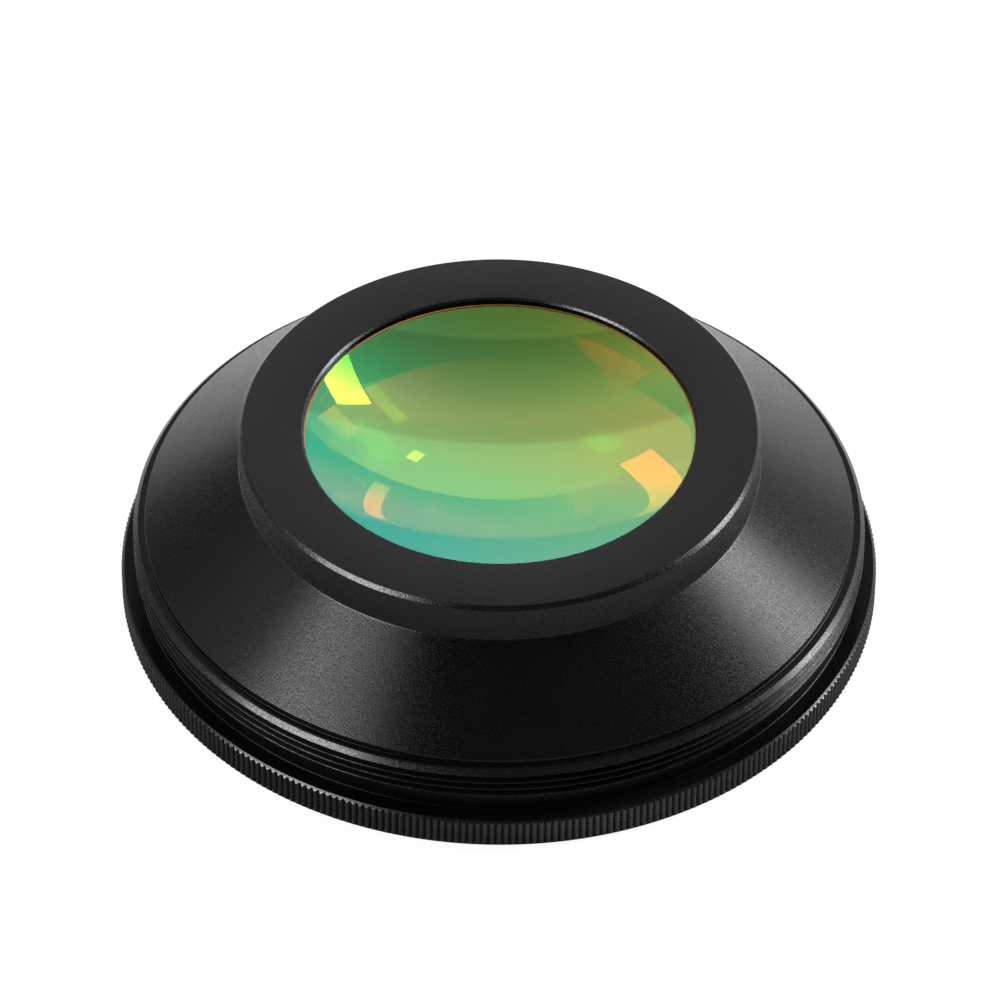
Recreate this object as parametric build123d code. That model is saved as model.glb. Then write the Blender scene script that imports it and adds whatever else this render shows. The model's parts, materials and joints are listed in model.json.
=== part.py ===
from build123d import *

import os
from math import cos, pi, sin, sqrt

# F-theta scan lens for an M85 x 1 scan head: a black turned housing that holds
# two air-spaced zinc selenide lenses. Millimetres throughout.
# Origin: centre of the flange's underside. +Z: the optical axis, from the
# flange up to the entrance aperture, which faces the scan mirrors.

# Flange that stays outside the scan head
FLANGE_RADIUS = 44.0
FLANGE_THICKNESS = 3.85
FLANGE_CHAMFER = 0.35
KNURL_TEETH = 345
KNURL_DEPTH = 0.25

# External M85 x 1 thread, drawn plain at its crests, and the relief below it
THREAD_RADIUS = 42.45
THREAD_BOTTOM = 6.35
THREAD_TOP = 9.45
RELIEF_RADIUS = 41.8
RELIEF_TOP = 5.9

# Shoulder above the thread's lead-in chamfer, and the small step beside it
SHOULDER_RADIUS = 41.9
SHOULDER_Z = 10.0
STEP_RADIUS = 41.05

# Cone and collar
CONE_BOTTOM = 10.75
CONE_TOP = 18.8
CONE_FILLET = 0.3
COLLAR_RADIUS = 30.0
COLLAR_CHAMFER = 0.45
TOTAL_HEIGHT = 23.65

# Entrance lip, under which the entrance lens seats
APERTURE_RADIUS = 22.5
LIP_THICKNESS = 0.9
EDGE_BREAK = 0.12
SEAT_Z = TOTAL_HEIGHT - LIP_THICKNESS

# Entrance lens: meniscus, concave side up
ENTRANCE_RADIUS = 24.0
ENTRANCE_THICKNESS = 4.2
ENTRANCE_TOP_CURVE = 90.0
ENTRANCE_BOTTOM_CURVE = 65.0

# Exit lens: larger meniscus, concave side up
EXIT_RADIUS = 31.0
EXIT_THICKNESS = 5.2
EXIT_TOP_CENTRE_Z = 11.0
EXIT_TOP_CURVE = 120.0
EXIT_BOTTOM_CURVE = 75.0
EXIT_GROUND_WIDTH = 1.0

# Slip fit of the lenses and the spacer in the housing's bores
SLIP = 0.02

# Rubber cushion rings
ENTRANCE_O_RING_RADIUS = 23.2
ENTRANCE_O_RING_THICKNESS = 1.0
EXIT_O_RING_RADIUS = 29.6
EXIT_O_RING_THICKNESS = 1.5

# Spacer between the lenses
SPACER_BORE_RADIUS = 22.4
SPACER_BORE_BOTTOM_Z = 17.4
SPACER_MOUTH_RADIUS = 29.2
SPACER_CONE_GAP = 0.2

# Stepped inside of the housing
COLLAR_BORE_BOTTOM_Z = 18.4
INNER_CONE_BOTTOM_Z = 15.4
EXIT_BORE_BOTTOM_Z = 12.2
RING_THREAD_RADIUS = 32.25
RING_THREAD_BOTTOM_Z = 5.6
MOUTH_TOP_RADIUS = 33.2
MOUTH_RADIUS = 37.4
MOUTH_CHAMFER = 0.6

# Retaining ring below the exit lens
RING_BOTTOM_Z = 7.0
RING_TOP_Z = 12.1
RING_WALL_RADIUS = 30.6
RING_BORE_RADIUS = 28.5
RING_FLARE_RADIUS = 29.6
SPANNER_SLOT_WIDTH = 3.0
SPANNER_SLOT_DEPTH = 1.6


def sag(curve, radius):
    """Depth of a sphere of radius curve, at this distance from its axis."""
    return curve - sqrt(curve**2 - radius**2)


def below_sphere(curve, bottom_z, ring_radius, ring_thickness):
    """Height of a cushion ring's centre line when it touches a sphere from below."""
    reach = curve + ring_thickness / 2
    return bottom_z + curve - sqrt(reach**2 - ring_radius**2)


# Heights that follow from the lenses' curves
ENTRANCE_TOP_CENTRE_Z = SEAT_Z - sag(ENTRANCE_TOP_CURVE, APERTURE_RADIUS)
ENTRANCE_BOTTOM_CENTRE_Z = ENTRANCE_TOP_CENTRE_Z - ENTRANCE_THICKNESS
EXIT_GROUND_RADIUS = EXIT_RADIUS - EXIT_GROUND_WIDTH
EXIT_SEAT_Z = EXIT_TOP_CENTRE_Z + sag(EXIT_TOP_CURVE, EXIT_GROUND_RADIUS)
EXIT_BOTTOM_CENTRE_Z = EXIT_TOP_CENTRE_Z - EXIT_THICKNESS
ENTRANCE_O_RING_Z = below_sphere(
    ENTRANCE_BOTTOM_CURVE, ENTRANCE_BOTTOM_CENTRE_Z, ENTRANCE_O_RING_RADIUS, ENTRANCE_O_RING_THICKNESS
)
EXIT_O_RING_Z = below_sphere(
    EXIT_BOTTOM_CURVE, EXIT_BOTTOM_CENTRE_Z, EXIT_O_RING_RADIUS, EXIT_O_RING_THICKNESS
)
SPACER_TOP_Z = ENTRANCE_O_RING_Z - ENTRANCE_O_RING_THICKNESS / 2
RING_GROOVE_Z = EXIT_O_RING_Z - EXIT_O_RING_THICKNESS / 2


def turned(outline):
    """Solid of revolution about Z from a closed outline of (radius, height) points."""
    return revolve(Plane.XZ * make_face(Polyline(*outline, close=True)), Axis.Z)


def outside_of_housing():
    """Outer outline, from the flange's underside up to the entrance lip."""
    flange_edge = FLANGE_RADIUS - FLANGE_CHAMFER
    flange_corner_z = FLANGE_THICKNESS - FLANGE_CHAMFER
    return [
        (flange_edge, 0),
        (FLANGE_RADIUS, FLANGE_CHAMFER),
        (FLANGE_RADIUS, flange_corner_z),
        (flange_edge, FLANGE_THICKNESS),
        (RELIEF_RADIUS, FLANGE_THICKNESS),
        (RELIEF_RADIUS, RELIEF_TOP),
        (THREAD_RADIUS, THREAD_BOTTOM),
        (THREAD_RADIUS, THREAD_TOP),
        (SHOULDER_RADIUS, SHOULDER_Z),
        (STEP_RADIUS, SHOULDER_Z),
        (STEP_RADIUS, CONE_BOTTOM),
        (COLLAR_RADIUS, CONE_TOP),
        (COLLAR_RADIUS, TOTAL_HEIGHT - COLLAR_CHAMFER),
        (COLLAR_RADIUS - COLLAR_CHAMFER, TOTAL_HEIGHT),
    ]


def inside_of_housing():
    """Inner outline, from the entrance lip down to the mouth under the flange."""
    collar_bore = ENTRANCE_RADIUS + SLIP
    exit_bore = EXIT_RADIUS + SLIP
    return [
        (APERTURE_RADIUS + EDGE_BREAK, TOTAL_HEIGHT),
        (APERTURE_RADIUS, TOTAL_HEIGHT - EDGE_BREAK),
        (APERTURE_RADIUS, SEAT_Z),
        (collar_bore, SEAT_Z),
        (collar_bore, COLLAR_BORE_BOTTOM_Z),
        (exit_bore, INNER_CONE_BOTTOM_Z),
        (exit_bore, EXIT_BORE_BOTTOM_Z),
        (RING_THREAD_RADIUS, EXIT_BORE_BOTTOM_Z),
        (RING_THREAD_RADIUS, RING_THREAD_BOTTOM_Z),
        (MOUTH_TOP_RADIUS, RING_THREAD_BOTTOM_Z),
        (MOUTH_RADIUS, MOUTH_CHAMFER),
        (MOUTH_RADIUS + MOUTH_CHAMFER, 0),
    ]


def knurling_prism():
    """Prism with a straight-knurled rim; only the flange is wide enough to meet it."""
    rim = []
    for step in range(2 * KNURL_TEETH):
        angle = pi * step / KNURL_TEETH
        radius = FLANGE_RADIUS - KNURL_DEPTH * (step % 2)
        rim.append((radius * cos(angle), radius * sin(angle)))
    return extrude(make_face(Polyline(*rim, close=True)), TOTAL_HEIGHT)


def make_housing():
    """Flange, thread, cone and collar, turned from one piece of aluminium."""
    blank = turned(outside_of_housing() + inside_of_housing())
    at_junction = blank.edges().filter_by(
        lambda edge: edge.geom_type == GeomType.CIRCLE
        and abs(edge.radius - COLLAR_RADIUS) < SLIP
        and abs(edge.arc_center.Z - CONE_TOP) < SLIP
    )
    blank = fillet(at_junction, CONE_FILLET)
    return blank & knurling_prism()


def sphere_arc(centre_z, curve, radius):
    """Arc of a lens surface from the axis outwards, opening upwards."""
    half = radius / 2
    return ThreePointArc(
        (0, centre_z),
        (half, centre_z + sag(curve, half)),
        (radius, centre_z + sag(curve, radius)),
    )


def make_meniscus(top_z, top_curve, top_radius, thickness, bottom_curve, rim_radius):
    """Lens with both surfaces opening upwards and a ground flat round its top."""
    top = sphere_arc(top_z, top_curve, top_radius)
    bottom = sphere_arc(top_z - thickness, bottom_curve, rim_radius)
    rim = Polyline(top @ 1, (rim_radius, (top @ 1).Y), bottom @ 1)
    axis = Line(bottom @ 0, top @ 0)
    return revolve(Plane.XZ * make_face(Curve() + [top, rim, bottom, axis]), Axis.Z)


def make_entrance_lens():
    return make_meniscus(
        ENTRANCE_TOP_CENTRE_Z,
        ENTRANCE_TOP_CURVE,
        APERTURE_RADIUS,
        ENTRANCE_THICKNESS,
        ENTRANCE_BOTTOM_CURVE,
        ENTRANCE_RADIUS,
    )


def make_exit_lens():
    return make_meniscus(
        EXIT_TOP_CENTRE_Z,
        EXIT_TOP_CURVE,
        EXIT_GROUND_RADIUS,
        EXIT_THICKNESS,
        EXIT_BOTTOM_CURVE,
        EXIT_RADIUS,
    )


def make_o_ring(radius, thickness, centre_z):
    """Round-section rubber ring that cushions one lens."""
    return Pos(0, 0, centre_z) * Torus(radius, thickness / 2)


def make_spacer():
    """Conical washer that sets the air space between the two lenses."""
    return turned(
        [
            (SPACER_BORE_RADIUS, SPACER_TOP_Z),
            (ENTRANCE_RADIUS, SPACER_TOP_Z),
            (ENTRANCE_RADIUS, COLLAR_BORE_BOTTOM_Z - SPACER_CONE_GAP),
            (EXIT_RADIUS, INNER_CONE_BOTTOM_Z - SPACER_CONE_GAP),
            (EXIT_RADIUS, EXIT_SEAT_Z),
            (SPACER_MOUTH_RADIUS, EXIT_SEAT_Z),
            (SPACER_BORE_RADIUS, SPACER_BORE_BOTTOM_Z),
        ]
    )


def make_retaining_ring():
    """Threaded ring, drawn plain, with two slots for a pin spanner."""
    ring = turned(
        [
            (RING_FLARE_RADIUS, RING_BOTTOM_Z),
            (RING_THREAD_RADIUS, RING_BOTTOM_Z),
            (RING_THREAD_RADIUS, RING_TOP_Z),
            (RING_WALL_RADIUS, RING_TOP_Z),
            (RING_WALL_RADIUS, RING_GROOVE_Z),
            (RING_BORE_RADIUS, RING_GROOVE_Z),
        ]
    )
    slots = Box(3 * RING_THREAD_RADIUS, SPANNER_SLOT_WIDTH, 2 * SPANNER_SLOT_DEPTH)
    return ring - Pos(0, 0, RING_BOTTOM_Z) * slots


def make_pieces():
    """Every piece under the name it is filed by."""
    return {
        "housing": make_housing(),
        "entrance_lens": make_entrance_lens(),
        "entrance_lens_o_ring": make_o_ring(
            ENTRANCE_O_RING_RADIUS, ENTRANCE_O_RING_THICKNESS, ENTRANCE_O_RING_Z
        ),
        "lens_spacer": make_spacer(),
        "exit_lens": make_exit_lens(),
        "exit_lens_o_ring": make_o_ring(
            EXIT_O_RING_RADIUS, EXIT_O_RING_THICKNESS, EXIT_O_RING_Z
        ),
        "retaining_ring": make_retaining_ring(),
    }


os.makedirs("parts", exist_ok=True)
for name, piece in make_pieces().items():
    piece.label = name
    export_step(piece, f"parts/{name}.step")
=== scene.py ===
"""Looks of an f-theta scan lens: turned housing, coated optics and a plain studio.

Metres throughout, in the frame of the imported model: +Z is the optical axis and the
lens stands on its flange at Z = 0.
"""

import json
from math import cos, pi, radians, sin, sqrt, tan

import bpy
from bpy.props import FloatProperty, FloatVectorProperty, PointerProperty
from mathutils import Matrix, Vector


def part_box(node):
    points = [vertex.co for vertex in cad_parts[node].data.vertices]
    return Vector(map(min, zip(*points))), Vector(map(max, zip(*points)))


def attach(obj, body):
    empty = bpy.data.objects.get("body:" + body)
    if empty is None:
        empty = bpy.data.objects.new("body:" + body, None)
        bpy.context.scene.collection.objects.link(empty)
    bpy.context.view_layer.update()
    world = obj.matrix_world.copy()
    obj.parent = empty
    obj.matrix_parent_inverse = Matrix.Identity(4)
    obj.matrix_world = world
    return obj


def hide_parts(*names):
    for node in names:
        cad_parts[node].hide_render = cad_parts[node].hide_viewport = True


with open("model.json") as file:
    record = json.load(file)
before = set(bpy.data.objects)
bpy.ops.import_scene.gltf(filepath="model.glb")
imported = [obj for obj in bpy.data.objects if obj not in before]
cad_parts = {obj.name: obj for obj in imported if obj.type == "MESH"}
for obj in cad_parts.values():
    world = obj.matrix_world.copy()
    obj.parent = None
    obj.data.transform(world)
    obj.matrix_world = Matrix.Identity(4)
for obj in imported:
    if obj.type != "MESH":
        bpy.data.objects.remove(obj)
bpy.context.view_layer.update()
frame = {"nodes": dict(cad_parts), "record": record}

bl_info = {
    "name": "F-Theta Scan Lens",
    "version": (1, 0, 0),
    "blender": (4, 5, 0),
    "location": "View3D > Sidebar > Scan Lens",
    "description": "Turned housing, coated optics and studio of an f-theta scan lens",
    "category": "Object",
}

MM = 0.001
TAB = "Scan Lens"


def mount(name):
    """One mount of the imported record."""
    return next(m for m in frame["record"]["mounts"] if m["name"] == name)


# Outside of the housing
TOTAL_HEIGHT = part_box("housing")[1].z
FLANGE_RADIUS = 44.0 * MM
FLANGE_THICKNESS = mount("scan_head_seat")["pos_m"][2]
FLANGE_CHAMFER = 0.35 * MM
RELIEF_RADIUS = 41.8 * MM
RELIEF_TOP = 5.9 * MM
THREAD_RADIUS = mount("scan_head_thread")["dims"]["r_mm"] * MM
THREAD_BOTTOM = 6.35 * MM
THREAD_TOP = 9.45 * MM
FRONT_CREST = 8.54 * MM
SHOULDER_RADIUS = 41.9 * MM
SHOULDER_Z = 10.0 * MM
STEP_RADIUS = 41.05 * MM
CONE_BOTTOM = 10.75 * MM
CONE_TOP = 18.8 * MM
COLLAR_RADIUS = 30.0 * MM
COLLAR_CHAMFER = 0.45 * MM

# Inside of the housing
APERTURE_RADIUS = 22.5 * MM
EDGE_BREAK = 0.25 * MM
SEAT_Z = TOTAL_HEIGHT - 0.9 * MM
COLLAR_BORE_RADIUS = 24.02 * MM
COLLAR_BORE_BOTTOM = 18.4 * MM
EXIT_BORE_RADIUS = 31.02 * MM
INNER_CONE_BOTTOM = 15.4 * MM
EXIT_BORE_BOTTOM = 12.2 * MM
RING_THREAD_RADIUS = 32.25 * MM
RING_THREAD_BOTTOM = 5.6 * MM
MOUTH_TOP_RADIUS = 33.2 * MM
MOUTH_RADIUS = 37.4 * MM
MOUTH_CHAMFER = 0.6 * MM

# Radii left by the nose of the turning tool in inner corners, and broken outer edges
TOOL_NOSE = 0.2 * MM
SMALL_NOSE = 0.12 * MM
CONE_NOSE = 0.3 * MM
BROKEN = 0.05 * MM
CORNER_STEPS = 4

# Lenses
ENTRANCE_RADIUS = 24.0 * MM
ENTRANCE_THICKNESS = 4.2 * MM
ENTRANCE_TOP_CURVE = 90.0 * MM
ENTRANCE_BOTTOM_CURVE = 65.0 * MM
EXIT_RADIUS = 31.0 * MM
EXIT_THICKNESS = 5.2 * MM
EXIT_TOP_CENTRE = 11.0 * MM
EXIT_TOP_CURVE = 120.0 * MM
EXIT_BOTTOM_CURVE = 75.0 * MM
EXIT_GROUND_RADIUS = 30.0 * MM
ENTRANCE_CLEAR_RADIUS = 22.36 * MM
EXIT_CLEAR_RADIUS = 29.5 * MM

# Finest detail of the turned meshes
ROUND_STEPS = 345
TEETH_STEPS = 4
THREAD_ROW = 0.03 * MM
CREST_ROUND = 0.05 * MM
FOOT_WIDTH = 1.0 * MM
LENS_ROWS = 48
LENS_STEPS = 240
SHARP_ANGLE = radians(38)


class HousingSettings(bpy.types.PropertyGroup):
    """Sizes and finish of the turned housing."""

    knurl_depth: FloatProperty(
        name="Knurl Depth",
        description="Depth of the straight knurling round the flange",
        default=0.25 * MM,
        unit="LENGTH",
    )
    thread_pitch: FloatProperty(
        name="Thread Pitch",
        description="Pitch of the external thread",
        default=1.0 * MM,
        unit="LENGTH",
    )
    thread_depth: FloatProperty(
        name="Thread Depth",
        description="Depth of the external thread",
        default=0.61 * MM,
        unit="LENGTH",
    )
    dye: FloatVectorProperty(
        name="Dye",
        description="Colour of the black anodised layer",
        default=(0.002, 0.0019, 0.0019),
        subtype="COLOR",
    )
    roughness: FloatProperty(
        name="Roughness",
        description="Roughness of the anodised layer",
        default=0.23,
        min=0.0,
        max=1.0,
        subtype="FACTOR",
    )


class OpticsSettings(bpy.types.PropertyGroup):
    """Glass and coating of the lenses."""

    glass_ior: FloatProperty(
        name="Glass IOR",
        description="Refractive index of zinc selenide in visible light",
        default=2.6,
        min=1.0,
        max=4.0,
    )
    glass_tint: FloatVectorProperty(
        name="Glass Tint",
        description="Colour that zinc selenide gives to light that goes through it",
        default=(1.0, 0.54, 0.005),
        subtype="COLOR",
    )
    film_ior: FloatProperty(
        name="Coating IOR",
        description="Refractive index of the coating's top layer",
        default=1.7,
        min=1.0,
        max=3.0,
    )
    entrance_top_film: FloatVectorProperty(
        name="Entrance Top Film",
        description="Coating thickness at the middle, and its gain per metre along X and Y, in nm",
        default=(341.0, 318.0, -273.0),
        size=3,
    )
    entrance_bottom_film: FloatVectorProperty(
        name="Entrance Bottom Film",
        description="Coating thickness at the middle, and its gain per metre along X and Y, in nm",
        default=(330.0, -3190.0, -5670.0),
        size=3,
    )
    exit_top_film: FloatVectorProperty(
        name="Exit Top Film",
        description="Coating thickness at the middle, and its gain per metre along X and Y, in nm",
        default=(708.0, 2455.0, 4227.0),
        size=3,
    )
    exit_bottom_film: FloatVectorProperty(
        name="Exit Bottom Film",
        description="Coating thickness at the middle, and its gain per metre along X and Y, in nm",
        default=(280.0, -700.0, -2800.0),
        size=3,
    )
    ground_colour: FloatVectorProperty(
        name="Ground Edge",
        description="Colour of the ground rim of the glass",
        default=(0.35, 0.11, 0.012),
        subtype="COLOR",
    )


class StageSettings(bpy.types.PropertyGroup):
    """Floor, lamps and camera."""

    floor_colour: FloatVectorProperty(
        name="Floor",
        description="Colour of the floor",
        default=(0.6, 0.6, 0.6),
        subtype="COLOR",
    )
    camera_distance: FloatProperty(
        name="Camera Distance",
        description="Distance of the camera from the middle of the flange's underside",
        default=775.6 * MM,
        unit="LENGTH",
    )
    camera_elevation: FloatProperty(
        name="Camera Elevation",
        description="Height of the camera above the floor, as an angle",
        default=radians(43.47),
        subtype="ANGLE",
    )
    focal_length: FloatProperty(
        name="Focal Length",
        description="Focal length in millimetres on a 36 mm sensor",
        default=238.5,
        min=10.0,
    )


# ---------------------------------------------------------------- mesh helpers


def add_object(name, verts, faces, materials, finish=None):
    """New mesh object at the origin, smooth apart from its sharp edges."""
    mesh = bpy.data.meshes.new(name)
    mesh.from_pydata(verts, [], faces)
    for material in materials:
        mesh.materials.append(material)
    if finish:
        mesh.polygons.foreach_set("material_index", finish)
    mesh.validate()
    mesh.shade_smooth()
    mesh.set_sharp_from_angle(angle=SHARP_ANGLE)
    piece = bpy.data.objects.new(name, mesh)
    bpy.context.scene.collection.objects.link(piece)
    return piece


def rounded(outline):
    """Outline of (radius, height, corner radius), with each corner as a short arc."""
    points = []
    count = len(outline)
    for index, (r, z, corner) in enumerate(outline):
        here = Vector((r, z))
        if corner == 0:
            points.append(here)
            continue
        before = (Vector(outline[index - 1][:2]) - here).normalized()
        after = (Vector(outline[(index + 1) % count][:2]) - here).normalized()
        half = before.angle(after) / 2
        reach = corner / tan(half)
        middle = here + (before + after).normalized() * corner / sin(half)
        start = here + before * reach - middle
        turn = pi - 2 * half
        sign = 1 if before.cross(after) < 0 else -1
        for step in range(CORNER_STEPS + 1):
            angle = sign * turn * step / CORNER_STEPS
            swung = Vector(
                (
                    start.x * cos(angle) - start.y * sin(angle),
                    start.x * sin(angle) + start.y * cos(angle),
                )
            )
            points.append(middle + swung)
    return points


class Turning:
    """Vertices and faces of a piece that is round about Z, built ring by ring."""

    def __init__(self):
        self.verts = []
        self.faces = []

    def ring(self, places):
        """Adds one ring of points and returns the index of its first."""
        first = len(self.verts)
        self.verts.extend(places)
        return first

    def circle(self, radius, height, steps):
        turn = 2 * pi / steps
        return self.ring(
            [(radius * cos(turn * i), radius * sin(turn * i), height) for i in range(steps)]
        )

    def strip(self, low, high, steps):
        """Quads between two rings of the same number of points."""
        for i in range(steps):
            j = (i + 1) % steps
            self.faces.append((low + i, low + j, high + j, high + i))

    def fan(self, fine, coarse, steps, share, outwards):
        """Faces between a ring of share times as many points and a coarse one."""
        for i in range(steps):
            j = (i + 1) % steps
            rim = [fine + i * share + k for k in range(share)] + [fine + j * share]
            face = [coarse + i] + rim + [coarse + j]
            self.faces.append(tuple(face if outwards else reversed(face)))


# ------------------------------------------------------------ material helpers


def new_material(name):
    """Material with a Principled shader; returns it with its nodes and links."""
    material = bpy.data.materials.new(name)
    material.use_nodes = True
    return material, material.node_tree.nodes, material.node_tree.links


def math_node(nodes, links, operation, first, second=None, third=None):
    """Math node whose inputs are sockets or numbers; returns its output."""
    made = nodes.new("ShaderNodeMath")
    made.operation = operation
    for socket, value in zip(made.inputs, (first, second, third)):
        if value is None:
            continue
        if isinstance(value, (int, float)):
            socket.default_value = value
        else:
            links.new(value, socket)
    return made.outputs[0]


def lathe_coordinates(nodes, links):
    """Object coordinates, distance from the axis, and height, as sockets."""
    place = nodes.new("ShaderNodeTexCoord").outputs["Object"]
    parts = nodes.new("ShaderNodeSeparateXYZ")
    links.new(place, parts.inputs[0])
    across = math_node(nodes, links, "POWER", parts.outputs["X"], 2.0)
    along = math_node(nodes, links, "POWER", parts.outputs["Y"], 2.0)
    total = math_node(nodes, links, "ADD", across, along)
    radius = math_node(nodes, links, "SQRT", total)
    return place, radius, parts.outputs["Z"]


def noise(nodes, links, place, scale, detail=2.0, roughness=0.5):
    """3D noise over object coordinates; scale is in features per metre."""
    made = nodes.new("ShaderNodeTexNoise")
    made.inputs["Scale"].default_value = scale
    made.inputs["Detail"].default_value = detail
    made.inputs["Roughness"].default_value = roughness
    links.new(place, made.inputs["Vector"])
    return made.outputs["Fac"]


def turning_lines(nodes, links, radius, height, lines_per_metre):
    """Fine rings left by the turning tool, the same all round the axis."""
    across = math_node(nodes, links, "SUBTRACT", radius, height)
    spread = math_node(nodes, links, "MULTIPLY", across, lines_per_metre)
    made = nodes.new("ShaderNodeTexNoise")
    made.noise_dimensions = "1D"
    made.inputs["Scale"].default_value = 1.0
    made.inputs["Detail"].default_value = 2.0
    links.new(spread, made.inputs["W"])
    return made.outputs["Fac"]


def blend_range(nodes, links, value, low, high, to_low, to_high):
    """Maps value from one range to another, clamped."""
    made = nodes.new("ShaderNodeMapRange")
    made.inputs["From Min"].default_value = low
    made.inputs["From Max"].default_value = high
    made.inputs["To Min"].default_value = to_low
    made.inputs["To Max"].default_value = to_high
    links.new(value, made.inputs["Value"])
    return made.outputs["Result"]


def mix_values(nodes, links, share, first, second):
    """Mix of two numbers or sockets by a share from 0 to 1."""
    made = nodes.new("ShaderNodeMix")
    made.data_type = "FLOAT"
    links.new(share, made.inputs["Factor"])
    for key, value in (("A", first), ("B", second)):
        if isinstance(value, (int, float)):
            made.inputs[key].default_value = value
        else:
            links.new(value, made.inputs[key])
    return made.outputs["Result"]


# Noise of the anodised layer, in features or lines per metre, and the grain's octaves
GRAIN_SCALE = 5600.0
GRAIN_DETAIL = (1.0, 0.6)
CLOUD_SCALE = 60.0
LINE_SCALE = 9000.0
# Slow unevenness of the dye: places on the noise's range, and shares of the colour
DYE_STOPS = ((0.3, 0.7), (0.75, 1.5))
# What one grain changes, and how high grains and turning lines stand
GRAIN_RANGE = (0.32, 0.68)
GRAIN_ROUGHNESS = 0.12
GRAIN_SPARKLE = 0.1
GRAIN_HEIGHT = 0.028 * MM
LINE_HEIGHT = 0.02 * MM
# Specular level of walls and cones, of flat faces, and what 45 degree chamfers add
WALL_SHINE = 0.17
FLAT_SHINE = 0.1
CHAMFER_SHINE = 0.25
# How a face is told by its upward normal: flat from here on, or a chamfer or a flank
# when it is this close to theirs
FLAT_FACING = (0.97, 0.99)
CHAMFER_FACING = (sin(pi / 4), 0.05)
FLANK_FACING = (cos(pi / 6), 0.03)
# Heights below which a point belongs to the knurled rim, or to the cut thread zone
RIM_TOP = FLANGE_THICKNESS + 0.001 * MM
CUT_TOP = SHOULDER_Z + 0.02 * MM
# The thread is cut after the blasting: rougher, with less grain and fewer lines
CUT_ROUGHNESS = 0.04
CUT_GRAIN = 0.15
CUT_LINES = 0.1
# Specular shares from the bottoms to the tips of the thread and of the knurling, and on the
# thread's flanks: painted shade in the grooves and on the flanks, and a painted highlight on the
# knurl's tips
GROOVE_RADII = (41.86 * MM, 42.12 * MM)
GROOVE_SHADE_SHARES = (0.5, 1.0)
FLANK_SHADE_SHARE = 0.3
TOOTH_RADII = (43.78 * MM, 43.96 * MM)
TOOTH_SHADE_AND_HIGHLIGHT = (0.3, 2.6)


def specular_with_painted_shade(nodes, links, radius, height, in_cut):
    """Specular level by place, with painted shade in the grooves and on the thread's flanks, a
    painted highlight on the knurl's tips, and more on chamfers.
    """
    facing = nodes.new("ShaderNodeSeparateXYZ")
    links.new(nodes.new("ShaderNodeNewGeometry").outputs["True Normal"], facing.inputs[0])
    upwards = facing.outputs["Z"]
    chamfer = math_node(nodes, links, "COMPARE", upwards, *CHAMFER_FACING)
    chamfer_shine = math_node(nodes, links, "MULTIPLY", chamfer, CHAMFER_SHINE)
    face_shine = blend_range(nodes, links, upwards, *FLAT_FACING, WALL_SHINE, FLAT_SHINE)
    # painted shade: the thread's flanks get less specular
    flank = math_node(nodes, links, "COMPARE", upwards, *FLANK_FACING)
    # painted shade: less specular towards the thread's roots
    groove = blend_range(nodes, links, radius, *GROOVE_RADII, *GROOVE_SHADE_SHARES)
    thread_painted_shade = mix_values(nodes, links, flank, groove, FLANK_SHADE_SHARE)
    # painted shade in the knurl's grooves and a painted highlight on its tips
    tooth_shade_and_highlight = blend_range(nodes, links, radius, *TOOTH_RADII, *TOOTH_SHADE_AND_HIGHLIGHT)
    in_rim = math_node(nodes, links, "LESS_THAN", height, RIM_TOP)
    above_rim = mix_values(nodes, links, in_cut, 1.0, thread_painted_shade)
    share = mix_values(nodes, links, in_rim, above_rim, tooth_shade_and_highlight)
    shared = math_node(nodes, links, "MULTIPLY", face_shine, share)
    return math_node(nodes, links, "ADD", shared, chamfer_shine)


def bump(nodes, links, height_map, height, strength, normal=None):
    """Bump of a height map; returns the bumped normal."""
    made = nodes.new("ShaderNodeBump")
    made.inputs["Distance"].default_value = height
    links.new(strength, made.inputs["Strength"])
    links.new(height_map, made.inputs["Height"])
    if normal:
        links.new(normal, made.inputs["Normal"])
    return made.outputs["Normal"]


def anodised(name, dye, roughness, grain, lines):
    """Black anodised aluminium with blasted grain and faint turning lines."""
    material, nodes, links = new_material(name)
    shader = nodes["Principled BSDF"]
    place, radius, height = lathe_coordinates(nodes, links)
    grains = noise(nodes, links, place, GRAIN_SCALE, *GRAIN_DETAIL)
    cloud = noise(nodes, links, place, CLOUD_SCALE)
    ramp = nodes.new("ShaderNodeValToRGB")
    for stop, (position, share) in zip(ramp.color_ramp.elements, DYE_STOPS):
        stop.position = position
        stop.color = (*(share * c for c in dye), 1)
    links.new(cloud, ramp.inputs["Fac"])
    links.new(ramp.outputs["Color"], shader.inputs["Base Color"])

    in_cut = math_node(nodes, links, "LESS_THAN", height, CUT_TOP)
    rough = blend_range(
        nodes, links, grains, *GRAIN_RANGE, roughness - GRAIN_ROUGHNESS, roughness + GRAIN_ROUGHNESS
    )
    rougher = math_node(nodes, links, "MULTIPLY", in_cut, CUT_ROUGHNESS)
    links.new(math_node(nodes, links, "ADD", rough, rougher), shader.inputs["Roughness"])
    level = specular_with_painted_shade(nodes, links, radius, height, in_cut)
    sparkle = blend_range(
        nodes, links, grains, *GRAIN_RANGE, 1 + GRAIN_SPARKLE, 1 - GRAIN_SPARKLE
    )
    shine = math_node(nodes, links, "MULTIPLY", level, sparkle)
    links.new(shine, shader.inputs["Specular IOR Level"])

    grain_strength = mix_values(nodes, links, in_cut, grain, CUT_GRAIN * grain)
    grainy = bump(nodes, links, grains, GRAIN_HEIGHT, grain_strength)
    rings = turning_lines(nodes, links, radius, height, LINE_SCALE)
    line_strength = mix_values(nodes, links, in_cut, lines, CUT_LINES * lines)
    lined = bump(nodes, links, rings, LINE_HEIGHT, line_strength, grainy)
    links.new(lined, shader.inputs["Normal"])
    return material


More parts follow.
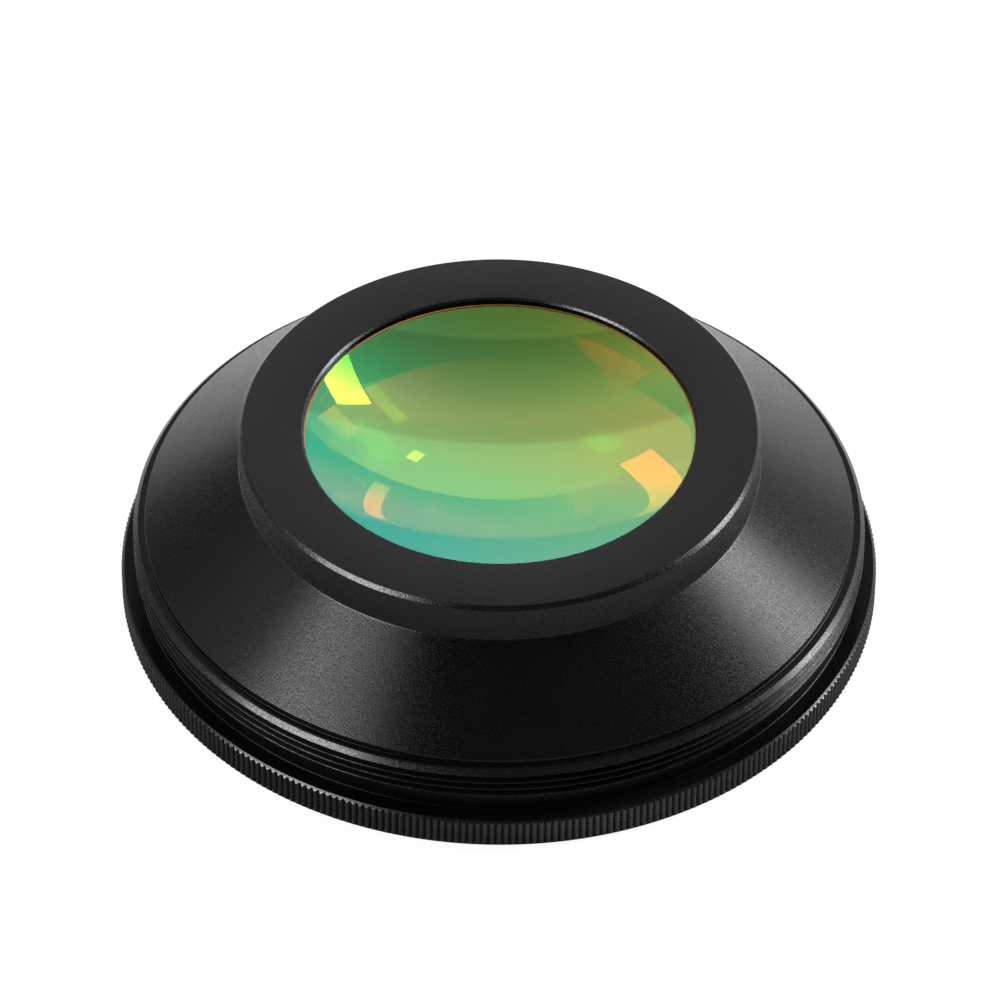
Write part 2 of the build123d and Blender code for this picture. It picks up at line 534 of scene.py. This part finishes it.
# Slow unevenness of the lens coatings: features per metre, the part of the noise's
# range that counts, and nanometres
FILM_CLOUD_SCALE = 25.0
FILM_CLOUD_RANGE = (0.3, 0.7)
FILM_UNEVENNESS = 3.0
# Ground rims: grain in features per metre, darkest share of their colour, roughness
GROUND_SCALE = 3000.0
GROUND_DARKEST = 0.8
GROUND_ROUGHNESS = 0.6
# Rubber: cloudiness in features per metre, its two blacks, roughness
RUBBER_SCALE = 900.0
RUBBER_DETAIL = 3.0
RUBBER_BLACKS = (0.012, 0.03)
RUBBER_ROUGHNESS = 0.75


def coated_glass(name, optics, film):
    """Polished zinc selenide with a thin coating whose thickness drifts along X and Y."""
    middle, gain_x, gain_y = film
    material, nodes, links = new_material(name)
    shader = nodes["Principled BSDF"]
    place = nodes.new("ShaderNodeTexCoord").outputs["Object"]
    parts = nodes.new("ShaderNodeSeparateXYZ")
    links.new(place, parts.inputs[0])
    shader.inputs["Base Color"].default_value = (*optics.glass_tint, 1)
    shader.inputs["Roughness"].default_value = 0.0
    shader.inputs["IOR"].default_value = optics.glass_ior
    shader.inputs["Transmission Weight"].default_value = 1.0
    shader.inputs["Thin Film IOR"].default_value = optics.film_ior
    across = math_node(nodes, links, "MULTIPLY", parts.outputs["X"], gain_x)
    along = math_node(nodes, links, "MULTIPLY", parts.outputs["Y"], gain_y)
    drift = math_node(nodes, links, "ADD", across, along)
    level = math_node(nodes, links, "ADD", drift, middle)
    cloud = noise(nodes, links, place, FILM_CLOUD_SCALE, 1.0)
    uneven = blend_range(
        nodes, links, cloud, *FILM_CLOUD_RANGE, -FILM_UNEVENNESS, FILM_UNEVENNESS
    )
    thickness = math_node(nodes, links, "ADD", level, uneven)
    links.new(thickness, shader.inputs["Thin Film Thickness"])
    return material


def ground_glass(name, colour):
    """Matte ground rim of a lens, in the colour of the bulk glass."""
    material, nodes, links = new_material(name)
    shader = nodes["Principled BSDF"]
    place = nodes.new("ShaderNodeTexCoord").outputs["Object"]
    grains = noise(nodes, links, place, GROUND_SCALE)
    ramp = nodes.new("ShaderNodeValToRGB")
    for stop, share in zip(ramp.color_ramp.elements, (GROUND_DARKEST, 1.0)):
        stop.color = (*(share * c for c in colour), 1)
    links.new(grains, ramp.inputs["Fac"])
    links.new(ramp.outputs["Color"], shader.inputs["Base Color"])
    shader.inputs["Roughness"].default_value = GROUND_ROUGHNESS
    return material


def rubber(name):
    """Matte black rubber."""
    material, nodes, links = new_material(name)
    shader = nodes["Principled BSDF"]
    place = nodes.new("ShaderNodeTexCoord").outputs["Object"]
    cloud = noise(nodes, links, place, RUBBER_SCALE, RUBBER_DETAIL)
    ramp = nodes.new("ShaderNodeValToRGB")
    for stop, black in zip(ramp.color_ramp.elements, RUBBER_BLACKS):
        stop.color = (black, black, black, 1)
    links.new(cloud, ramp.inputs["Fac"])
    links.new(ramp.outputs["Color"], shader.inputs["Base Color"])
    shader.inputs["Roughness"].default_value = RUBBER_ROUGHNESS
    return material


# -------------------------------------------------------------------- housing


def thread_surface(angle, height, housing):
    """Radius of the external thread at an angle and a height."""
    lead_in = THREAD_RADIUS - max(0.0, height - THREAD_TOP)
    if height > THREAD_TOP + THREAD_ROW:
        return lead_in
    pitch = housing.thread_pitch
    turns = (height - FRONT_CREST) / pitch - (angle + pi / 2) / (2 * pi)
    away = abs(turns - round(turns)) * pitch
    past = away - pitch / 16
    if abs(past) < CREST_ROUND:
        past = (past + CREST_ROUND) ** 2 / (4 * CREST_ROUND)
    root = THREAD_RADIUS - housing.thread_depth
    flank = THREAD_RADIUS - max(0.0, past) * sqrt(3)
    run_out = RELIEF_RADIUS + (height - RELIEF_TOP) * (
        (THREAD_RADIUS - RELIEF_RADIUS) / (THREAD_BOTTOM - RELIEF_TOP)
    )
    return min(max(flank, root), lead_in, max(run_out, RELIEF_RADIUS))


def thread_rows(turning, housing):
    """Rings of the thread zone, from the top of the relief to the shoulder."""
    count = round((SHOULDER_Z - RELIEF_TOP) / THREAD_ROW)
    rings = []
    for row in range(count + 1):
        height = RELIEF_TOP + (SHOULDER_Z - RELIEF_TOP) * row / count
        places = []
        for i in range(ROUND_STEPS):
            angle = 2 * pi * i / ROUND_STEPS
            signed = angle if angle <= pi else angle - 2 * pi
            r = thread_surface(signed, height, housing)
            places.append((r * cos(angle), r * sin(angle), height))
        rings.append(turning.ring(places))
    return rings


def housing_outline_above():
    """From the shoulder's inner corner, over the collar and down to the underside."""
    return [
        (SHOULDER_RADIUS - BROKEN, SHOULDER_Z, 0),
        (STEP_RADIUS, SHOULDER_Z, SMALL_NOSE),
        (STEP_RADIUS, CONE_BOTTOM, SMALL_NOSE),
        (COLLAR_RADIUS, CONE_TOP, CONE_NOSE),
        (COLLAR_RADIUS, TOTAL_HEIGHT - COLLAR_CHAMFER, BROKEN),
        (COLLAR_RADIUS - COLLAR_CHAMFER, TOTAL_HEIGHT, BROKEN),
        (APERTURE_RADIUS + EDGE_BREAK, TOTAL_HEIGHT, BROKEN / 2),
        (APERTURE_RADIUS, TOTAL_HEIGHT - EDGE_BREAK, BROKEN / 2),
        (APERTURE_RADIUS, SEAT_Z, 0),
        (COLLAR_BORE_RADIUS, SEAT_Z, 0),
        (COLLAR_BORE_RADIUS, COLLAR_BORE_BOTTOM, 0),
        (EXIT_BORE_RADIUS, INNER_CONE_BOTTOM, 0),
        (EXIT_BORE_RADIUS, EXIT_BORE_BOTTOM, 0),
        (RING_THREAD_RADIUS, EXIT_BORE_BOTTOM, 0),
        (RING_THREAD_RADIUS, RING_THREAD_BOTTOM, 0),
        (MOUTH_TOP_RADIUS, RING_THREAD_BOTTOM, 0),
        (MOUTH_RADIUS, MOUTH_CHAMFER, BROKEN),
        (MOUTH_RADIUS + MOUTH_CHAMFER, 0.0, BROKEN),
        (RELIEF_RADIUS, 0.0, 0),
    ]


def knurled_rim(turning, housing):
    """Fine rings of the knurled rim, from the underside round to the flange's top."""
    steps = ROUND_STEPS * TEETH_STEPS
    inner = FLANGE_RADIUS - FLANGE_CHAMFER
    low, high = [], []
    for i in range(steps):
        angle = 2 * pi * i / steps
        away = abs(i % TEETH_STEPS - TEETH_STEPS / 2) / (TEETH_STEPS / 2)
        r = FLANGE_RADIUS - housing.knurl_depth * (1 - away)
        low.append((r * cos(angle), r * sin(angle), r - inner))
        high.append((r * cos(angle), r * sin(angle), FLANGE_THICKNESS - (r - inner)))
    rings = [turning.circle(inner, 0.0, steps), turning.ring(low), turning.ring(high)]
    rings.append(turning.circle(inner, FLANGE_THICKNESS, steps))
    for lower, upper in zip(rings, rings[1:]):
        turning.strip(lower, upper, steps)
    return rings[0], rings[-1]


def build_housing(settings):
    """Closed mesh of the housing with its thread and knurling."""
    turning = Turning()
    foot = [
        turning.circle(p.x, p.y, ROUND_STEPS)
        for p in rounded(
            [
                (RELIEF_RADIUS + FOOT_WIDTH, FLANGE_THICKNESS, 0),
                (RELIEF_RADIUS, FLANGE_THICKNESS, TOOL_NOSE),
                (RELIEF_RADIUS, RELIEF_TOP - THREAD_ROW, 0),
            ]
        )
    ]
    thread = thread_rows(turning, settings)
    above = [turning.circle(p.x, p.y, ROUND_STEPS) for p in rounded(housing_outline_above())]
    rings = foot + thread + above
    for lower, upper in zip(rings, rings[1:]):
        turning.strip(lower, upper, ROUND_STEPS)
    rim_low, rim_high = knurled_rim(turning, settings)
    turning.fan(rim_low, rings[-1], ROUND_STEPS, TEETH_STEPS, False)
    turning.fan(rim_high, rings[0], ROUND_STEPS, TEETH_STEPS, True)
    return turning


# --------------------------------------------------------------------- lenses


def sag(curve, radius):
    """Depth of a sphere of radius curve, at this distance from its axis."""
    return curve - sqrt(curve**2 - radius**2)


def build_meniscus(lens):
    """Closed mesh of a lens whose surfaces both open upwards, and each face's finish."""
    top_z, top_curve, top_radius, thickness, bottom_curve, rim_radius, clear = lens
    turning = Turning()
    bottom_z = top_z - thickness
    low_centre = turning.ring([(0, 0, bottom_z)])
    bottom_radii = [rim_radius * row / LENS_ROWS for row in range(1, LENS_ROWS + 1)]
    rings = [
        turning.circle(r, bottom_z + sag(bottom_curve, r), LENS_STEPS) for r in bottom_radii
    ]
    rings.append(turning.circle(rim_radius, top_z + sag(top_curve, top_radius), LENS_STEPS))
    top_radii = [clear * row / LENS_ROWS for row in range(LENS_ROWS, 0, -1)]
    for r in [top_radius] + top_radii:
        rings.append(turning.circle(r, top_z + sag(top_curve, r), LENS_STEPS))
    high_centre = turning.ring([(0, 0, top_z)])
    finish = []
    for index, (lower, upper) in enumerate(zip(rings, rings[1:])):
        turning.strip(lower, upper, LENS_STEPS)
        ground = LENS_ROWS - 1 <= index <= LENS_ROWS + 1
        side = 1 if ground else (0 if index < LENS_ROWS else 2)
        finish.extend([side] * LENS_STEPS)
    for i in range(LENS_STEPS):
        j = (i + 1) % LENS_STEPS
        turning.faces.append((low_centre, rings[0] + j, rings[0] + i))
        turning.faces.append((high_centre, rings[-1] + i, rings[-1] + j))
        finish.extend([0, 2])
    return turning, finish


# ------------------------------------------------------------------ operators

# Strengths of the grain and of the turning lines, outside and on the inner rings
HOUSING_BUMPS = (0.7, 0.2)
INNER_BUMPS = (0.5, 0.3)
INNER_ROUGHNESS = 0.55


class SCANLENS_OT_housing(bpy.types.Operator):
    """Build the turned housing with its thread and knurled flange"""

    bl_idname = "scanlens.housing"
    bl_label = "Housing"

    def execute(self, context):
        settings = context.scene.scanlens_housing
        turning = build_housing(settings)
        dye, roughness = settings.dye, settings.roughness
        finish = anodised("black_anodised_housing", dye, roughness, *HOUSING_BUMPS)
        piece = add_object("housing_turned", turning.verts, turning.faces, [finish])
        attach(piece, "root")
        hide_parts("housing")
        return {"FINISHED"}


class SCANLENS_OT_lenses(bpy.types.Operator):
    """Build both polished and coated lenses"""

    bl_idname = "scanlens.lenses"
    bl_label = "Lenses"

    def execute(self, context):
        optics = context.scene.scanlens_optics
        entrance = (
            SEAT_Z - sag(ENTRANCE_TOP_CURVE, APERTURE_RADIUS),
            ENTRANCE_TOP_CURVE,
            APERTURE_RADIUS,
            ENTRANCE_THICKNESS,
            ENTRANCE_BOTTOM_CURVE,
            ENTRANCE_RADIUS,
            ENTRANCE_CLEAR_RADIUS,
        )
        leaving = (
            EXIT_TOP_CENTRE,
            EXIT_TOP_CURVE,
            EXIT_GROUND_RADIUS,
            EXIT_THICKNESS,
            EXIT_BOTTOM_CURVE,
            EXIT_RADIUS,
            EXIT_CLEAR_RADIUS,
        )
        entrance_films = (optics.entrance_bottom_film, optics.entrance_top_film)
        exit_films = (optics.exit_bottom_film, optics.exit_top_film)
        add_lens("entrance_lens", entrance, optics, *entrance_films)
        add_lens("exit_lens", leaving, optics, *exit_films)
        return {"FINISHED"}


def add_lens(node_name, lens, optics, bottom_film, top_film):
    """Builds one lens with its two coatings and its ground rim."""
    turning, finish = build_meniscus(lens)
    materials = [
        coated_glass(node_name + "_bottom_coating", optics, bottom_film),
        ground_glass(node_name + "_ground_rim", optics.ground_colour),
        coated_glass(node_name + "_top_coating", optics, top_film),
    ]
    piece = add_object(node_name + "_polished", turning.verts, turning.faces, materials, finish)
    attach(piece, "root")
    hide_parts(node_name)


class SCANLENS_OT_inner_rings(bpy.types.Operator):
    """Finish the spacer, the retaining ring and the rubber cushion rings"""

    bl_idname = "scanlens.inner_rings"
    bl_label = "Inner Rings"

    def execute(self, context):
        settings = context.scene.scanlens_housing
        dull = anodised("black_anodised_inner", settings.dye, INNER_ROUGHNESS, *INNER_BUMPS)
        soft = rubber("cushion_rubber")
        for name in ("lens_spacer", "retaining_ring"):
            paint(frame["nodes"][name], dull)
        for name in ("entrance_lens_o_ring", "exit_lens_o_ring"):
            paint(frame["nodes"][name], soft)
        return {"FINISHED"}


def paint(piece, material):
    """Gives a CAD node its material."""
    piece.data.materials.clear()
    piece.data.materials.append(material)


# ---------------------------------------------------------------------- stage

LAMP_DISTANCE = 1.1
# Name, azimuth and elevation in degrees, width and height in metres, radiance
LAMPS = (
    ("left_softbox", 209.0, 37.0, 0.56, 0.42, 14.5),
    ("right_upper_softbox", 22.5, 38.5, 0.42, 0.24, 42.0),
    ("right_lower_softbox", 11.0, 22.5, 0.36, 0.23, 19.0),
    ("right_back_reflector", 38.5, 48.0, 0.3, 0.1, 3.0),
    ("left_back_reflector", 124.0, 37.0, 0.12, 0.27, 7.0),
    ("side_reflector", 64.5, 34.5, 0.06, 0.13, 7.0),
)


def add_lamp(name, azimuth, elevation, width, height, radiance):
    """Soft rectangular lamp that faces the object from a direction."""
    lamp = bpy.data.lights.new(name, "AREA")
    lamp.shape = "RECTANGLE"
    lamp.size = width
    lamp.size_y = height
    lamp.energy = radiance * pi * width * height
    holder = bpy.data.objects.new(name, lamp)
    bpy.context.scene.collection.objects.link(holder)
    turn, rise = radians(azimuth), radians(elevation)
    towards = Vector((cos(rise) * cos(turn), cos(rise) * sin(turn), sin(rise)))
    holder.location = towards * LAMP_DISTANCE
    holder.rotation_mode = "QUATERNION"
    holder.rotation_quaternion = towards.to_track_quat("Z", "Y")
    holder.visible_camera = False


# Radiances of the room: its wall, the wall's dim left end, the ceiling over the lens
# and straight above, and a hatch that adds to the ceiling at the front
WALL = 2.1
WALL_LEFT_END = 1.5
CEILING_NEAR = 1.55
CEILING_TOP = 0.3
HATCH = 0.28
# Where the wall turns dim to the left, and where the ceiling turns dim overhead
WALL_TURN = (-0.85, -0.6)
CEILING_TURN = (0.76, 0.97)
# Slopes of the wall's upper edge and of the hatch's far edge, each a little blurred
WALL_SLOPE = tan(radians(44))
WALL_BLUR = 0.012
HATCH_SLOPE = 0.49
HATCH_BLUR = 0.006
# What is left of the room in front, and how much the low sides are shaded
FRONT_SHARE = 0.04
LEFT_SHADE = 0.86
RIGHT_SHADE = 0.6
# Where each of them sets in, as parts of a unit direction
FRONT_TURN = (-0.2, 0.25)
LEFT_TURN = (-0.45, -0.65)
RIGHT_TURN = (0.5, 0.7)
LOW_TURN = (0.3, 0.6)


def room_radiance(nodes, links, side, back, up):
    """Radiance of the wall behind the object and of the ceiling above it."""
    slope = math_node(nodes, links, "MULTIPLY", back, WALL_SLOPE)
    above = math_node(nodes, links, "SUBTRACT", up, slope)
    on_wall = blend_range(nodes, links, above, -WALL_BLUR, WALL_BLUR, 1.0, 0.0)
    across = math_node(nodes, links, "MULTIPLY", side, on_wall)
    wall = blend_range(nodes, links, across, *WALL_TURN, WALL_LEFT_END, WALL)
    overhead = blend_range(nodes, links, up, *CEILING_TURN, CEILING_NEAR, CEILING_TOP)
    far_edge = math_node(nodes, links, "MULTIPLY", up, HATCH_SLOPE)
    beyond = math_node(nodes, links, "SUBTRACT", far_edge, back)
    hatch = blend_range(nodes, links, beyond, -HATCH_BLUR, HATCH_BLUR, 0.0, HATCH)
    ceiling = math_node(nodes, links, "ADD", overhead, hatch)
    return mix_values(nodes, links, on_wall, ceiling, wall)


def kept_light(nodes, links, side, back, up):
    """Share of the room that is left in front and at the low sides."""
    front = blend_range(nodes, links, back, *FRONT_TURN, FRONT_SHARE, 1.0)
    left = blend_range(nodes, links, side, *LEFT_TURN, 0.0, LEFT_SHADE)
    right = blend_range(nodes, links, side, *RIGHT_TURN, 0.0, RIGHT_SHADE)
    sides = math_node(nodes, links, "ADD", left, right)
    low = blend_range(nodes, links, up, *LOW_TURN, 1.0, 0.0)
    shade = math_node(nodes, links, "MULTIPLY", sides, low)
    unshaded = math_node(nodes, links, "SUBTRACT", 1.0, shade)
    return math_node(nodes, links, "MULTIPLY", front, unshaded)


def build_world():
    """Pale surroundings: white to the camera, a soft grey room to everything else."""
    world = bpy.data.worlds.new("studio")
    bpy.context.scene.world = world
    world.use_nodes = True
    nodes, links = world.node_tree.nodes, world.node_tree.links
    parts = nodes.new("ShaderNodeSeparateXYZ")
    links.new(nodes.new("ShaderNodeTexCoord").outputs["Generated"], parts.inputs[0])
    direction = (parts.outputs["X"], parts.outputs["Y"], parts.outputs["Z"])
    room = room_radiance(nodes, links, *direction)
    kept = kept_light(nodes, links, *direction)
    level = math_node(nodes, links, "MULTIPLY", room, kept)
    seen = nodes.new("ShaderNodeLightPath").outputs["Is Camera Ray"]
    background = nodes["Background"]
    background.inputs["Color"].default_value = (1, 1, 1, 1)
    links.new(mix_values(nodes, links, seen, level, 1.0), background.inputs["Strength"])


# Shares of the floor's colour by radius: painted shade, darkest under the object and a little
# darker near it, then pale
FLOOR_REACH = 100 * MM
FLOOR_PAINTED_SHADE_STOPS = ((0.0, 0.05), (0.37, 0.05), (0.44, 0.85), (1.0, 1.0))
FLOOR_ROUGHNESS = 0.8
# How much the camera sees the floor as a white backdrop, and how bright that is
BACKDROP_SHARE = 0.86
BACKDROP_GLOW = 1.08
FLOOR_HALF = 3.0


def pale_floor(colour):
    """Floor that reads as white, keeps a soft shadow of the object and has painted shade under and
    near it.
    """
    material, nodes, links = new_material("pale_floor")
    shader = nodes["Principled BSDF"]
    shader.inputs["Roughness"].default_value = FLOOR_ROUGHNESS
    radius = lathe_coordinates(nodes, links)[1]
    # painted shade: the floor's colour is darkest under the object and a little darker near it
    painted_shade_ramp = nodes.new("ShaderNodeValToRGB")
    for position, share in FLOOR_PAINTED_SHADE_STOPS[1:-1]:
        painted_shade_ramp.color_ramp.elements.new(position)
    for stop, (position, share) in zip(painted_shade_ramp.color_ramp.elements, FLOOR_PAINTED_SHADE_STOPS):
        stop.color = (*(share * c for c in colour), 1)
    far = blend_range(nodes, links, radius, 0.0, FLOOR_REACH, 0.0, 1.0)
    links.new(far, painted_shade_ramp.inputs["Fac"])
    links.new(painted_shade_ramp.outputs["Color"], shader.inputs["Base Color"])
    glow = nodes.new("ShaderNodeEmission")
    glow.inputs["Strength"].default_value = BACKDROP_GLOW
    mix = nodes.new("ShaderNodeMixShader")
    seen = nodes.new("ShaderNodeLightPath").outputs["Is Camera Ray"]
    links.new(math_node(nodes, links, "MULTIPLY", seen, BACKDROP_SHARE), mix.inputs["Fac"])
    links.new(shader.outputs["BSDF"], mix.inputs[1])
    links.new(glow.outputs["Emission"], mix.inputs[2])
    links.new(mix.outputs["Shader"], nodes["Material Output"].inputs["Surface"])
    return material


def build_floor(settings):
    """Wide pale floor at the height that the lens stands on."""
    half = FLOOR_HALF
    corners = [(-half, -half, 0), (half, -half, 0), (half, half, 0), (-half, half, 0)]
    floor = add_object("floor", corners, [(0, 1, 2, 3)], [pale_floor(settings.floor_colour)])


# Small turns of the camera away from the middle of the flange's underside
CAMERA_LIFT = radians(0.668)
CAMERA_PAN = radians(-0.009)
CAMERA_ROLL = radians(0.36)
SENSOR_WIDTH = 36.0
CLIP_START = 0.01


def build_camera(settings):
    """Camera at the front, looking down on the lens."""
    data = bpy.data.cameras.new("camera")
    data.sensor_width = SENSOR_WIDTH
    data.lens = settings.focal_length
    data.clip_start = CLIP_START
    camera = bpy.data.objects.new("camera", data)
    bpy.context.scene.collection.objects.link(camera)
    elevation = settings.camera_elevation
    towards = Vector((0, -cos(elevation), sin(elevation)))
    camera.matrix_world = (
        Matrix.Translation(towards * settings.camera_distance)
        @ Matrix.Rotation(CAMERA_PAN, 4, "Z")
        @ Matrix.Rotation(pi / 2 - elevation + CAMERA_LIFT, 4, "X")
        @ Matrix.Rotation(CAMERA_ROLL, 4, "Z")
    )
    bpy.context.scene.camera = camera


class SCANLENS_OT_stage(bpy.types.Operator):
    """Set the floor, the lamps, the surroundings and the camera"""

    bl_idname = "scanlens.stage"
    bl_label = "Stage"

    def execute(self, context):
        settings = context.scene.scanlens_stage
        build_floor(settings)
        build_world()
        build_camera(settings)
        for lamp in LAMPS:
            add_lamp(*lamp)
        context.scene.view_settings.view_transform = "Standard"
        return {"FINISHED"}


# What every property group has besides its own settings
INHERITED = ("rna_type", "name")


class SCANLENS_PT_panel(bpy.types.Panel):
    """Buttons that build the scan lens"""

    bl_idname = "SCANLENS_PT_panel"
    bl_label = "Scan Lens"
    bl_space_type = "VIEW_3D"
    bl_region_type = "UI"
    bl_category = TAB

    def draw(self, context):
        for operator in OPERATORS:
            self.layout.operator(operator.bl_idname)
        for name in PROPERTIES:
            settings = getattr(context.scene, name)
            box = self.layout.box()
            for prop in settings.bl_rna.properties:
                if prop.identifier not in INHERITED:
                    box.prop(settings, prop.identifier)


OPERATORS = (
    SCANLENS_OT_stage,
    SCANLENS_OT_housing,
    SCANLENS_OT_inner_rings,
    SCANLENS_OT_lenses,
)
PROPERTIES = {
    "scanlens_housing": HousingSettings,
    "scanlens_optics": OpticsSettings,
    "scanlens_stage": StageSettings,
}


def register():
    for group in PROPERTIES.values():
        bpy.utils.register_class(group)
    for operator in OPERATORS:
        bpy.utils.register_class(operator)
    bpy.utils.register_class(SCANLENS_PT_panel)
    for name, group in PROPERTIES.items():
        setattr(bpy.types.Scene, name, PointerProperty(type=group))


def unregister():
    for name in PROPERTIES:
        delattr(bpy.types.Scene, name)
    bpy.utils.unregister_class(SCANLENS_PT_panel)
    for operator in reversed(OPERATORS):
        bpy.utils.unregister_class(operator)
    for group in reversed(list(PROPERTIES.values())):
        bpy.utils.unregister_class(group)


def main():
    """Build everything in order."""
    register()
    bpy.ops.scanlens.stage()
    bpy.ops.scanlens.housing()
    bpy.ops.scanlens.inner_rings()
    bpy.ops.scanlens.lenses()


if __name__ == "__main__":
    main()
